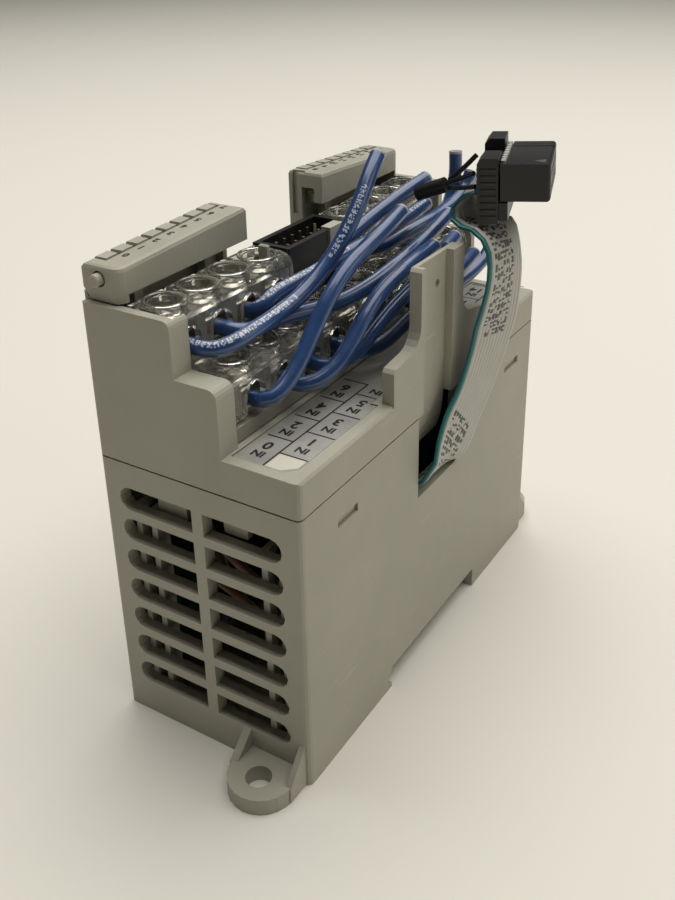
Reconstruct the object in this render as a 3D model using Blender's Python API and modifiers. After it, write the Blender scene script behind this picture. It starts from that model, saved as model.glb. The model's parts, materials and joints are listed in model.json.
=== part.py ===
"""A 16-point input module for a 35 mm rail, lying on its back.

+Z is the module's depth, from its back to its terminals. +X is the side where the
bus ribbon comes out, and -Y the end with the open vents. All lengths in the tables
and functions below are millimetres; MM turns them into Blender's metres.
"""

import math

import bmesh
import bpy
from mathutils import Euler, Matrix, Vector

MM = 0.001
GAP = 0.3

# Envelope
WIDTH = 40.4
HEIGHT = 90.0
HALF_X = WIDTH / 2
HALF_Y = HEIGHT / 2
SIDE_WALL = 2.3
END_WALL = 2.4
CORNER = 1.0
BASE_TOP = 53.0
DECK_BOTTOM = 57.4
DECK_TOP = 59.6
LOWER_TIER_TOP = 71.3
UPPER_TIER_TOP = 80.8
TIER_STEP_X = -2.2
SHELF_STEP_X = 5.85

# Rail seat and mounting tabs
NOTCH_LOW_Y = -16.9
NOTCH_HIGH_Y = 18.5
NOTCH_DEPTH = 4.5
CAVITY_FLOOR = 7.0
TAB_X = 13.15
TAB_HOLE_Y = 50.03
TAB_HOLE_RADIUS = 2.3
TAB_ROUND_Y = 49.0
TAB_RADIUS = 6.0
TAB_THICKNESS = 3.2

# Vents
VENT_ROWS = 7
VENT_FIRST_Z = 9.25
VENT_PITCH = 6.15
VENT_HEIGHT = 4.4
VENT_OUTER_X = 16.55
VENT_RIB_HALF = 1.1

# Ribbon notch in the +X wall of the base, and the guide plate above it
RIBBON_NOTCH_Y = (-7.3, 8.9)
RIBBON_NOTCH_Z = 36.6
PLATE_X = (17.2, 18.7)
PLATE_Y = (-5.6, 5.1)

# Terminals
PITCH = 8.1
UPPER_ROW_X = -8.1
LOWER_ROW_X = 0.1
UPPER_NEAR_Y = [-38.75 + PITCH * i for i in range(4)]
UPPER_FAR_Y = [14.45 + PITCH * i for i in range(4)]
LOWER_Y = [-33.7 + PITCH * i for i in range(10)]
POCKET_HALF_Y = 3.1
UPPER_FLOOR = 72.6
LOWER_FLOOR = 63.2
COVER_THICKNESS = 1.3
HOLE_RADIUS = 3.0
WIRE_DIAMETER = 2.8
UPPER_WIRE_Z = 74.4
LOWER_WIRE_Z = 65.0

# Indicator bars. Y runs from a bar's outer end to its inner one; the +Y bar is mirrored
BAR_X = (-20.0, -12.2)
BAR_Y = {"near": (-43.9, -11.6), "far": (-43.7, -13.0)}
BAR_BOTTOM = 81.1
BAR_TOP = 86.85
BAR_RISE = 1.5
BAR_MIDDLE = 83.7
BAR_SIDE_BOTTOM = 82.4
BAR_WALL = 1.2
LIGHTS = 8
LIGHT_START = {"near": -41.1, "far": -41.9}
LIGHT_PITCH = {"near": 3.58, "far": 3.45}
LIGHT_X = (-19.8, -17.3)
LIGHT_LENGTH = 2.6
HINGE_X = -16.6
HINGE_Z = 84.7

# Bus header
HEADER_CENTRE = (-8.9, 0.6)
HEADER_SIZE = (8.0, 19.6)
HEADER_Z = (71.0, 81.0)
PIN_PITCH = 2.54
PIN_ROWS = 2
PINS_PER_ROW = 6

# Ribbon: its centre line, and the way its width points at the start and at the end
RIBBON_WIDTH = 15.24
RIBBON_THICKNESS = 0.9
RIBBON_ROUTE = [
    (15.9, 0.9, 10.0), (15.9, 0.9, 24.0), (15.9, 0.9, 31.0), (16.2, 0.9, 34.6),
    (17.4, 0.6, 37.3), (19.2, 0.5, 38.4), (20.9, 0.9, 40.1), (21.6, 3.5, 43.4),
    (21.9, 7.2, 47.1), (22.5, 10.6, 51.4), (23.3, 13.0, 56.8), (24.3, 14.4, 63.0),
    (25.2, 15.0, 69.5), (25.6, 15.1, 75.5), (24.6, 15.6, 80.0), (22.2, 16.3, 82.3),
    (19.2, 17.2, 82.9), (17.1, 18.0, 84.1), (16.1, 18.5, 86.2), (16.6, 18.9, 88.2),
    (17.7, 19.35, 88.75),
]
RIBBON_WIDTH_WAYS = [(0.0, 1.0, 0.0), (0.0, 1.0, 0.0), (0.13, 0.99, 0.0), (-0.3, 0.95, 0.0)]

# Connector on the ribbon's end: the middle of the cap's cable face, and its turn and tilt
CONNECTOR_AT = (18.6, 19.6, 89.9)
CONNECTOR_TURN = math.radians(18)
CONNECTOR_TILT = math.radians(-2.5)
CAP_X = (0.0, 3.7)
CAP_HALF_Y = 9.3
CAP_Z = (-5.8, 4.3)
CAP_EARS = {-1: 5.8, 1: 6.5}
BODY_X = (4.0, 12.6)
BODY_HALF_Y = 8.8
BODY_Z = (-1.9, 4.7)

# Field wires: each is a route of its own from the terminal to its cut end
WIRE_ROUTES = {
    "wire_upper_1": [
        (-4.9, -38.75, 74.4), (-2.6, -38.75, 74.4), (0.4, -38.3, 74.4), (2.6, -35.6, 75.1),
        (3.4, -30.5, 75.8), (3.7, -24.5, 76.4), (4.4, -19.0, 77.9), (5.6, -13.8, 81.2),
        (6.6, -9.2, 85.6), (7.0, -5.0, 90.0), (6.7, -1.0, 94.0), (6.2, 2.6, 96.4),
    ],
    "wire_upper_2": [
        (-4.9, -30.65, 74.4), (-2.6, -30.65, 74.4), (-0.7, -30.3, 74.2), (0.6, -28.0, 74.0),
        (1.2, -24.5, 73.9), (2.2, -20.0, 73.8), (4.0, -15.3, 73.6), (6.6, -10.0, 74.0),
        (8.7, -4.0, 75.3), (10.0, 3.0, 77.0), (10.5, 10.0, 78.4), (10.5, 17.0, 79.8),
        (10.3, 22.6, 81.0),
    ],
    "wire_upper_3": [
        (-4.9, -22.55, 74.4), (-3.0, -22.5, 74.6), (-1.8, -21.9, 75.5), (-0.9, -19.4, 76.9),
        (0.1, -15.5, 77.6), (1.6, -9.5, 78.5), (3.2, -3.0, 79.7), (4.6, 4.0, 80.7),
        (5.4, 11.0, 81.5), (5.8, 18.0, 82.3), (5.9, 21.5, 82.8),
    ],
    "wire_upper_4": [
        (-4.9, -14.45, 74.4), (-3.0, -14.45, 74.2), (-1.5, -13.7, 74.1), (-0.9, -11.0, 74.4),
        (-0.9, -6.5, 76.2), (-0.3, 0.0, 79.4), (0.8, 7.0, 82.0), (2.2, 14.0, 84.2),
        (3.5, 20.0, 85.9), (4.4, 24.3, 86.9),
    ],
    "wire_upper_5": [
        (-4.9, 14.45, 74.4), (-3.0, 14.45, 74.4), (-1.0, 14.8, 74.8), (0.9, 17.2, 75.6),
        (2.4, 21.5, 76.6), (3.5, 26.5, 77.4), (4.2, 32.0, 78.0), (4.7, 37.0, 79.0),
        (5.0, 41.0, 80.8), (5.2, 43.2, 83.6),
    ],
    "wire_upper_6": [
        (-4.9, 22.55, 74.4), (-3.0, 22.6, 74.2), (-1.4, 23.0, 73.8), (0.0, 25.4, 73.4),
        (0.9, 29.5, 73.4), (1.4, 34.0, 74.1), (1.8, 38.2, 76.0), (2.0, 41.2, 79.4),
        (2.0, 42.6, 83.6), (1.8, 42.9, 87.6),
    ],
    "wire_lower_1": [
        (3.6, -33.7, 65.0), (5.6, -33.7, 65.0), (7.2, -32.9, 65.4), (8.1, -30.4, 66.8),
        (8.6, -26.8, 69.6), (8.9, -23.2, 73.4), (9.3, -19.2, 77.6), (9.8, -14.2, 81.2),
        (10.2, -8.0, 83.6), (10.2, -1.0, 85.2), (9.8, 4.6, 86.3),
    ],
    "wire_lower_2": [
        (3.6, -25.6, 65.0), (5.6, -25.6, 64.7), (7.6, -25.0, 64.4), (9.6, -22.6, 64.9),
        (11.1, -19.2, 66.8), (11.8, -15.8, 69.6), (12.2, -12.0, 72.9), (12.6, -7.6, 75.6),
        (13.0, -2.0, 77.2), (13.4, 4.0, 78.2), (13.8, 9.8, 79.0),
    ],
    "wire_lower_3": [
        (3.6, -17.5, 65.0), (5.6, -17.4, 64.7), (7.4, -16.8, 64.4), (9.1, -14.8, 64.6),
        (10.6, -11.6, 66.2), (11.6, -8.0, 68.7), (12.4, -3.6, 71.1), (13.0, 1.5, 72.8),
        (13.4, 7.0, 73.9), (13.2, 12.5, 74.8), (12.4, 18.0, 75.7),
    ],
    "wire_lower_4": [
        (3.6, -9.4, 65.0), (5.6, -9.3, 64.7), (7.5, -8.8, 64.0), (9.1, -6.8, 63.6),
        (10.6, -3.4, 64.1), (11.6, 1.0, 65.5), (12.4, 6.0, 67.1), (13.0, 11.5, 68.5),
        (13.4, 17.0, 69.7), (13.4, 23.0, 70.7), (13.0, 29.0, 71.5),
    ],
    "wire_lower_5": [
        (3.6, -1.3, 65.0), (5.6, -1.2, 65.2), (7.3, -0.4, 65.8), (8.4, 2.0, 66.9),
        (9.0, 5.5, 68.7), (9.4, 10.0, 70.7), (9.6, 16.0, 72.5), (9.6, 22.0, 73.7),
        (9.2, 28.0, 74.7),
    ],
    "wire_lower_7": [
        (3.6, 14.9, 65.0), (5.6, 15.0, 64.8), (7.4, 15.8, 64.6), (8.9, 18.3, 64.7),
        (10.0, 22.5, 65.2), (10.9, 27.0, 65.8), (11.5, 32.0, 66.6), (11.9, 36.8, 68.0),
        (12.1, 40.6, 70.6), (12.1, 42.6, 74.2),
    ],
}

MATERIALS = {
    "housing_grey": ((0.42, 0.41, 0.37, 1.0), 0.55, 0.0),
    "clear_plastic": ((0.78, 0.78, 0.73, 0.45), 0.15, 0.0),
    "terminal_grey": ((0.22, 0.21, 0.19, 1.0), 0.5, 0.0),
    "light_pipe": ((0.62, 0.61, 0.56, 1.0), 0.35, 0.0),
    "black_plastic": ((0.02, 0.02, 0.025, 1.0), 0.4, 0.0),
    "steel": ((0.62, 0.61, 0.58, 1.0), 0.3, 1.0),
    "gold": ((0.75, 0.6, 0.3, 1.0), 0.3, 1.0),
    "board_green": ((0.03, 0.16, 0.07, 1.0), 0.45, 0.0),
    "card_silver": ((0.55, 0.54, 0.52, 1.0), 0.35, 0.0),
    "wire_blue": ((0.02, 0.07, 0.27, 1.0), 0.25, 0.0),
    "wire_brown": ((0.16, 0.09, 0.05, 1.0), 0.4, 0.0),
    "ribbon_grey": ((0.5, 0.49, 0.46, 1.0), 0.5, 0.0),
}

for old in list(bpy.data.objects):
    bpy.data.objects.remove(old, do_unlink=True)

MODULE = bpy.data.collections.new("plc_module")
CUTTERS = bpy.data.collections.new("cutters")
for collection in (MODULE, CUTTERS):
    bpy.context.scene.collection.children.link(collection)

ACROSS = {
    "X": Matrix(((0, 0, 1), (1, 0, 0), (0, 1, 0))),
    "Y": Matrix(((1, 0, 0), (0, 0, -1), (0, 1, 0))),
    "Z": Matrix.Identity(3),
}


def material(name):
    """The named material, made the first time it is asked for."""
    found = bpy.data.materials.get(name)
    if found:
        return found
    colour, roughness, metallic = MATERIALS[name]
    found = bpy.data.materials.new(name)
    found.use_nodes = True
    shader = found.node_tree.nodes["Principled BSDF"]
    shader.inputs["Base Color"].default_value = colour
    shader.inputs["Roughness"].default_value = roughness
    shader.inputs["Metallic"].default_value = metallic
    shader.inputs["Alpha"].default_value = colour[3]
    found.diffuse_color = colour
    return found


def keep(obj, look):
    """Puts a finished object in the module's collection, with its material."""
    for user in list(obj.users_collection):
        user.objects.unlink(obj)
    MODULE.objects.link(obj)
    obj.hide_render = False
    obj.display_type = "TEXTURED"
    obj.data.materials.clear()
    obj.data.materials.append(material(look))
    return obj


def helper(obj):
    """Marks an object as a cutter or a piece to be joined on."""
    for user in list(obj.users_collection):
        user.objects.unlink(obj)
    CUTTERS.objects.link(obj)
    obj.hide_render = True
    obj.display_type = "WIRE"
    return obj


def from_bmesh(name, shape):
    mesh = bpy.data.meshes.new(name)
    shape.to_mesh(mesh)
    shape.free()
    obj = bpy.data.objects.new(name, mesh)
    return helper(obj)


def box(name, x, y, z):
    """A box from (low, high) along each axis."""
    shape = bmesh.new()
    bmesh.ops.create_cube(shape, size=1.0)
    low = Vector((x[0], y[0], z[0])) * MM
    high = Vector((x[1], y[1], z[1])) * MM
    for corner in shape.verts:
        corner.co = Vector(
            [low[i] + (corner.co[i] + 0.5) * (high[i] - low[i]) for i in range(3)]
        )
    return from_bmesh(name, shape)


def cylinder(name, centre, radius, length, axis="Z", segments=24, top_radius=None):
    """A cylinder or cone whose middle is at centre, along the axis."""
    shape = bmesh.new()
    bmesh.ops.create_cone(
        shape,
        cap_ends=True,
        segments=segments,
        radius1=radius * MM,
        radius2=(radius if top_radius is None else top_radius) * MM,
        depth=length * MM,
    )
    bmesh.ops.transform(shape, matrix=ACROSS[axis].to_4x4(), verts=shape.verts)
    bmesh.ops.translate(shape, vec=Vector(centre) * MM, verts=shape.verts)
    return from_bmesh(name, shape)


def prism(name, outline, axis, span):
    """The outline, extruded along the axis over span. On X it is (y, z), on Y (x, z), on Z (x, y)."""
    low, high = min(span), max(span)
    curve = bpy.data.curves.new(name, "CURVE")
    curve.dimensions = "2D"
    curve.fill_mode = "BOTH"
    curve.extrude = (high - low) / 2 * MM
    spline = curve.splines.new("POLY")
    spline.points.add(len(outline) - 1)
    for point, (u, v) in zip(spline.points, outline):
        point.co = (u * MM, v * MM, 0.0, 1.0)
    spline.use_cyclic_u = True
    drawn = bpy.data.objects.new(name, curve)
    bpy.context.scene.collection.objects.link(drawn)
    bpy.context.view_layer.update()
    graph = bpy.context.evaluated_depsgraph_get()
    mesh = bpy.data.meshes.new_from_object(drawn.evaluated_get(graph))
    bpy.data.objects.remove(drawn, do_unlink=True)
    shape = bmesh.new()
    shape.from_mesh(mesh)
    bmesh.ops.remove_doubles(shape, verts=shape.verts, dist=1e-6)
    bmesh.ops.recalc_face_normals(shape, faces=shape.faces)
    bmesh.ops.transform(shape, matrix=ACROSS[axis].to_4x4(), verts=shape.verts)
    middle = Vector([0.0, 0.0, 0.0])
    middle["XYZ".index(axis)] = (low + high) / 2 * MM
    bmesh.ops.translate(shape, vec=middle, verts=shape.verts)
    return from_bmesh(name, shape)


def arc(centre, radius, start, end, steps):
    """Points on an arc, from one angle to another, in degrees."""
    angles = [math.radians(start + (end - start) * i / steps) for i in range(steps + 1)]
    return [(centre[0] + radius * math.cos(a), centre[1] + radius * math.sin(a)) for a in angles]


def rounded_rectangle(x, y, radius, steps=3):
    corners = [
        ((x[1] - radius, y[0] + radius), -90),
        ((x[1] - radius, y[1] - radius), 0),
        ((x[0] + radius, y[1] - radius), 90),
        ((x[0] + radius, y[0] + radius), 180),
    ]
    return [p for centre, start in corners for p in arc(centre, radius, start, start + 90, steps)]


def joined(name, pieces):
    """Several disjoint helpers as one mesh, so that one Boolean takes them all."""
    shape = bmesh.new()
    for piece in pieces:
        shape.from_mesh(piece.data)
        bpy.data.objects.remove(piece, do_unlink=True)
    return from_bmesh(name, shape)


def combine(obj, other, operation):
    """Applies one exact Boolean and drops the other object."""
    modifier = obj.modifiers.new(operation.lower(), "BOOLEAN")
    modifier.operation = operation
    modifier.solver = "EXACT"
    modifier.object = other
    bpy.context.view_layer.update()
    graph = bpy.context.evaluated_depsgraph_get()
    mesh = bpy.data.meshes.new_from_object(obj.evaluated_get(graph))
    obj.modifiers.clear()
    obj.data = mesh
    bpy.data.objects.remove(other, do_unlink=True)
    return obj


def cut(obj, *cutters):
    for cutter in cutters:
        combine(obj, cutter, "DIFFERENCE")
    return obj


def add(obj, *pieces):
    for piece in pieces:
        combine(obj, piece, "UNION")
    return obj


def round_edges(obj, width, segments, wanted):
    """Bevels the edges whose middle passes the test, given in millimetres."""
    shape = bmesh.new()
    shape.from_mesh(obj.data)
    bmesh.ops.dissolve_limit(shape, angle_limit=0.01, verts=shape.verts, edges=shape.edges)
    edges = [e for e in shape.edges if wanted((e.verts[0].co + e.verts[1].co) / 2 / MM)]
    bmesh.ops.bevel(
        shape, geom=edges, offset=width * MM, segments=segments, profile=0.5, affect="EDGES"
    )
    shape.to_mesh(obj.data)
    shape.free()
    return obj


def smooth(obj, angle=35):
    obj.data.shade_smooth()
    obj.data.set_sharp_from_angle(angle=math.radians(angle))
    return obj


def curve_points(route, count):
    """Evenly spaced points on a smooth centripetal curve through the route's points."""
    ends = [
        tuple(2 * a - b for a, b in zip(route[0], route[1])),
        tuple(2 * a - b for a, b in zip(route[-1], route[-2])),
    ]
    knots = [Vector(p) for p in [ends[0], *route, ends[1]]]
    fine = []
    for p0, p1, p2, p3 in zip(knots, knots[1:], knots[2:], knots[3:]):
        t1 = (p1 - p0).length ** 0.5
        t2 = t1 + (p2 - p1).length ** 0.5
        t3 = t2 + (p3 - p2).length ** 0.5
        for i in range(16):
            t = t1 + (t2 - t1) * i / 16
            a1 = p0.lerp(p1, t / t1)
            a2 = p1.lerp(p2, (t - t1) / (t2 - t1))
            a3 = p2.lerp(p3, (t - t2) / (t3 - t2))
            b1 = a1.lerp(a2, t / t2)
            b2 = a2.lerp(a3, (t - t1) / (t3 - t1))
            fine.append(b1.lerp(b2, (t - t1) / (t2 - t1)))
    fine.append(knots[-2])
    run = [0.0]
    for a, b in zip(fine, fine[1:]):
        run.append(run[-1] + (b - a).length)
    points, at = [], 0
    for i in range(count):
        wanted = run[-1] * i / (count - 1)
        while at < len(run) - 2 and run[at + 1] < wanted:
            at += 1
        share = (wanted - run[at]) / (run[at + 1] - run[at])
        points.append(fine[at].lerp(fine[at + 1], share))
    return points


def tube(name, route, diameter, look, count, resolution=2):
    """A round wire along the smooth curve through the route."""
    curve = bpy.data.curves.new(name, "CURVE")
    curve.dimensions = "3D"
    curve.bevel_depth = diameter / 2 * MM
    curve.bevel_resolution = resolution
    curve.use_fill_caps = True
    spline = curve.splines.new("POLY")
    points = curve_points(route, count)
    spline.points.add(len(points) - 1)
    for point, place in zip(spline.points, points):
        point.co = (*(place * MM), 1.0)
    spline.use_smooth = True
    obj = bpy.data.objects.new(name, curve)
    return keep(obj, look)


# ---------------------------------------------------------------- housing


def vent_slot(row, side, y):
    """One slot: square at the middle rib, round at its outer end."""
    middle = VENT_FIRST_Z + VENT_PITCH * row
    radius = VENT_HEIGHT / 2
    outline = [(VENT_RIB_HALF, middle + radius), (VENT_RIB_HALF, middle - radius)]
    outline += arc((VENT_OUTER_X - radius, middle), radius, -90, 90, 6)
    outline = [(side * x, z) for x, z in outline]
    return prism("vent_cutter", outline, "Y", y)


def mounting_tab(side):
    """A rounded ear with a bolt hole and two sloping gussets, at the -Y (-1) or +Y (1) end."""
    root = HALF_Y - 0.5
    outline = [(TAB_X + TAB_RADIUS, root), (TAB_X - TAB_RADIUS, root)]
    outline += arc((TAB_X, TAB_ROUND_Y), TAB_RADIUS, 180, 0, 12)
    ear = prism("tab", [(x, side * y) for x, y in outline], "Z", (0, TAB_THICKNESS))
    for x, top in (((TAB_X - 6.4, TAB_X - 4.9), 7.0), ((TAB_X + 5.1, TAB_X + 6.2), 8.5)):
        slope = [(root, 0.4), (root, top), (HALF_Y, top), (HALF_Y + 4.6, TAB_THICKNESS - 0.2),
                 (HALF_Y + 4.6, 0.4)]
        add(ear, prism("gusset", [(side * y, z) for y, z in slope], "X", x))
    hole = cylinder("hole", (TAB_X, side * TAB_HOLE_Y, 1.5), TAB_HOLE_RADIUS, 8, segments=20)
    return cut(ear, hole)


def base_housing():
    """The deep open box: vents, rail seat, tabs, board guides, snap slots and ribbon notch."""
    shell = prism(
        "base_housing",
        rounded_rectangle((-HALF_X, HALF_X), (-HALF_Y, HALF_Y), CORNER),
        "Z",
        (0, BASE_TOP),
    )
    inner_x = (-HALF_X + SIDE_WALL, HALF_X - SIDE_WALL)
    inner_y = (-HALF_Y + END_WALL, HALF_Y - END_WALL)
    cut(shell, box("cavity", inner_x, inner_y, (CAVITY_FLOOR, BASE_TOP + 5)))
    cut(
        shell,
        box("well_low", inner_x, (inner_y[0], NOTCH_LOW_Y - 2.6), (2.4, CAVITY_FLOOR + 1)),
        box("well_high", inner_x, (NOTCH_HIGH_Y + 2.6, inner_y[1]), (4.6, CAVITY_FLOOR + 1)),
    )
    for y in ((-HALF_Y - 1, -HALF_Y + END_WALL + 0.4), (HALF_Y - END_WALL - 0.4, HALF_Y + 1)):
        slots = [vent_slot(row, side, y) for row in range(VENT_ROWS) for side in (-1, 1)]
        cut(shell, joined("vents", slots))
    seat = [
        (NOTCH_LOW_Y, -1), (NOTCH_LOW_Y, 0.9), (NOTCH_LOW_Y - 1.5, 1.5), (NOTCH_LOW_Y - 1.5, 3.1),
        (NOTCH_LOW_Y, 3.1), (NOTCH_LOW_Y, NOTCH_DEPTH), (NOTCH_HIGH_Y, NOTCH_DEPTH), (NOTCH_HIGH_Y, -1),
    ]
    cut(shell, prism("rail_seat", seat, "X", (-HALF_X - 1, HALF_X + 1)))
    way_y = (NOTCH_HIGH_Y - 1, HALF_Y + 1)
    flange_x = (LATCH_WAY_X[0] - LATCH_FLANGE, LATCH_WAY_X[1] + LATCH_FLANGE)
    cut(
        shell,
        box("latch_way", LATCH_WAY_X, way_y, (-1, LATCH_TOP + GAP)),
        box("latch_groove", flange_x, way_y, (LATCH_LIP, LATCH_TOP + GAP)),
    )
    notch = [
        (RIBBON_NOTCH_Y[0], RIBBON_NOTCH_Z), (RIBBON_NOTCH_Y[1] - 0.9, RIBBON_NOTCH_Z),
        (RIBBON_NOTCH_Y[1], RIBBON_NOTCH_Z + 1.1), (RIBBON_NOTCH_Y[1], BASE_TOP + 2),
        (RIBBON_NOTCH_Y[0], BASE_TOP + 2),
    ]
    cut(shell, prism("ribbon_notch", notch, "X", (HALF_X - SIDE_WALL - 0.5, HALF_X + 1)))
    windows = [
        box("snap_window", x, y, SNAP_WINDOW_Z)
        for x in ((HALF_X - 3, HALF_X + 1), (-HALF_X - 1, -HALF_X + 3))
        for y in SNAP_Y
    ]
    cut(shell, joined("snap_windows", windows))
    for end in (-1, 1):
        for board in BOARD_X:
            for x in ((board - 2.3, board - 1.1), (board + 1.1, board + 2.3)):
                y = sorted((end * (inner_y[1] + 0.3), end * (inner_y[1] - 2.7)))
                add(shell, box("board_guide", x, y, (2.0, 44.0)))
    add(shell, mounting_tab(-1), mounting_tab(1))
    return keep(shell, "housing_grey")


def tower_outline():
    """The ribbon tower seen from +X: low walls that sweep up into a tall plate, as (y, z)."""
    outline = [(-16.4, 58.4), (-16.4, 65.5), (-15.8, 66.1), (-11.0, 66.6)]
    outline += arc((-11.0, 70.65), 4.05, -90, 0, 5)[1:]
    outline += [(-6.95, 80.2), (-6.4, 80.75), (8.8, 80.75), (9.3, 80.2)]
    outline += arc((13.6, 71.0), 4.3, 180, 270, 5)
    outline += [(18.1, 65.9), (18.7, 65.3), (18.7, 58.4)]
    return outline


def top_housing():
    """The stepped upper shell: end walls, terminal deck, label shelf, ribbon tower and snaps."""
    profile = [(-HALF_X, BASE_TOP + GAP), (HALF_X, BASE_TOP + GAP), (HALF_X, DECK_TOP - 0.4)]
    profile += [(HALF_X - 0.4, DECK_TOP), (SHELF_STEP_X, DECK_TOP)]
    profile += arc((SHELF_STEP_X - 1.6, LOWER_TIER_TOP - 1.6), 1.6, 0, 90, 4)
    profile += [(TIER_STEP_X, LOWER_TIER_TOP)]
    profile += arc((TIER_STEP_X - 1.3, UPPER_TIER_TOP - 1.3), 1.3, 0, 90, 4)
    profile += [(-HALF_X + 0.4, UPPER_TIER_TOP), (-HALF_X, UPPER_TIER_TOP - 0.4)]
    shell = prism("top_housing", profile, "Y", (-HALF_Y, HALF_Y))
    plan = rounded_rectangle((-HALF_X, HALF_X), (-HALF_Y, HALF_Y), CORNER)
    combine(shell, prism("plan", plan, "Z", (50, 90)), "INTERSECT")
    cut(
        shell,
        box("upper_bay", (-18.4, -2.85), (-43.4, 43.4), (DECK_TOP, 95)),
        box("lower_bay", (-3.2, 25), (-40.6, 43.4), (DECK_TOP, 95)),
        box("skirt", (-18.4, 18.4), (-43.2, 43.2), (50, DECK_BOTTOM)),
        box("window_between_bars", (-25, -18), (-13.1, 14.5), (74.3, 95)),
    )
    cut(shell, prism("label_recess", label_outline(0.0), "Z", (DECK_TOP - 0.8, DECK_TOP + 3)))
    ear = [(-HALF_X, 80.0), (-19.2, 80.0), (-19.2, 80.9), (-19.8, 81.9), (-HALF_X, 82.2)]
    add(
        shell,
        prism("tower", tower_outline(), "X", (17.9, HALF_X)),
        prism("bar_ear", ear, "Y", (-43.7, -42.6)),
    )
    tongue = [(PLATE_X[1], 59.0), (PLATE_X[1], 53.5)]
    tongue += [(PLATE_X[1] - 2.6 * (1 - math.cos(a)), 53.5 - 9.5 * math.sin(a))
               for a in [math.radians(15 * i) for i in range(1, 7)]]
    tongue += [(x - 1.5, z + 0.3) for x, z in reversed(tongue[2:])]
    tongue += [(PLATE_X[0], 53.5), (PLATE_X[0], 59.0)]
    add(shell, prism("tongue", tongue, "Y", PLATE_Y))
    cut(
        shell,
        box("channel", (PLATE_X[1], 25), PLATE_Y, (45, 95)),
        cylinder("plate_hole", (18, 1.8, 75.3), 0.8, 6, axis="X", segments=12),
        box("far_rim_slot", (15.4, 17.2), (43.7, 44.3), (DECK_TOP - 0.8, DECK_TOP + 1)),
    )
    for side in (-1, 1):
        for y in SNAP_Y:
            inset = (y[0] + GAP, y[1] - GAP)
            blade = box("snap", sorted((side * 16.2, side * 17.5)), inset, (44.6, 58))
            hook = box("hook", sorted((side * 17.3, side * 19.7)), inset, SNAP_HOOK_Z)
            add(shell, add(blade, hook))
    for end in (-1, 1):
        y = sorted((end * 41.0, end * 42.3))
        slotted = box("end_clip", (-10.6, -4.4), y, (43.6, 58))
        cut(slotted, box("clip_slot", (-8.4, -6.6), (-50, 50), (46, 51.5)))
        wedge = prism("end_clip", [(3.4, 44.2), (8.0, 44.2), (9.4, 58), (2.2, 58)], "Y", y)
        add(shell, slotted, wedge)
    return keep(shell, "housing_grey")


def label_outline(inset):
    """The card's outline on the shelf, narrower beside the ribbon tower, as (x, y)."""
    low, wide, narrow, end = 6.3 + inset, 17.7 - inset, 16.3 - inset, 43.0 - inset
    return [
        (low, -end), (wide - 1.8, -end), (wide, -end + 1.8), (wide, -17.2 - inset),
        (narrow, -17.2 - inset), (narrow, 19.5 + inset), (wide, 19.5 + inset), (wide, end), (low, end),
    ]


def label_card():
    card = prism("label_card", label_outline(0.2), "Z", (DECK_TOP - 0.6, DECK_TOP - 0.15))
    return keep(card, "card_silver")


LATCH_WAY_X = (-9.0, 1.0)
LATCH_TOP = 2.9
LATCH_LIP = 1.2
LATCH_FLANGE = 0.9
SNAP_Y = ((-34.6, -28.4), (30.6, 37.4))
SNAP_WINDOW_Z = (46.0, 47.6)
SNAP_HOOK_Z = (46.3, 47.3)
BOARD_X = (-13.2, 13.2)


def din_latch():
    """The rail latch: a flanged slide with a nose under the rail's edge and a slotted ear outside."""
    x = (LATCH_WAY_X[0] + GAP, LATCH_WAY_X[1] - GAP)
    profile = [
        (NOTCH_HIGH_Y - 1.7, 1.0), (NOTCH_HIGH_Y - 1.7, 1.4), (NOTCH_HIGH_Y + 0.4, 1.4),
        (NOTCH_HIGH_Y + 0.4, LATCH_TOP), (52.6, LATCH_TOP), (53.2, 2.4), (53.2, 0.0),
        (NOTCH_HIGH_Y - 0.6, 0.0),
    ]
    slide = prism("din_latch", profile, "X", x)
    flange = (x[0] - LATCH_FLANGE, x[1] + LATCH_FLANGE)
    add(slide, box("flange", flange, (NOTCH_HIGH_Y + 1.0, 40.0), (LATCH_LIP + GAP, LATCH_TOP - 0.01)))
    cut(slide, box("screwdriver_slot", (x[0] + 3.0, x[1] - 3.0), (48.4, 50.6), (-1, 6)))
    return keep(slide, "housing_grey")


def boards():
    """Two upright circuit boards in the base's guides."""
    for name, x in zip(("power_board", "input_board"), BOARD_X):
        board = box(name, (x - 0.8, x + 0.8), (-41.4, 41.4), (7.4, 56.8))
        for y in ((-45, -38), (38, 45)):
            cut(board, box("corner", (x - 3, x + 3), y, (42.8, 60)))
        if name == "input_board":
            add(board, box("ribbon_socket", (x + 0.5, 16.7), (-7.3, 9.1), (7.4, 9.7)))
        keep(board, "board_green")


def board_link_wire():
    """The loose wire that joins the two boards behind the vents."""
    route = [(-12.0, -31, 33), (-9.8, -31.2, 33), (-5.5, -34, 31.6), (-1, -35.5, 27.5), (4, -36, 23.5),
             (9.4, -31.4, 20.5), (12.0, -31, 20.5)]
    return tube("board_link_wire", route, 1.6, "wire_brown", 13)


# -------------------------------------------------------------- terminals


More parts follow.
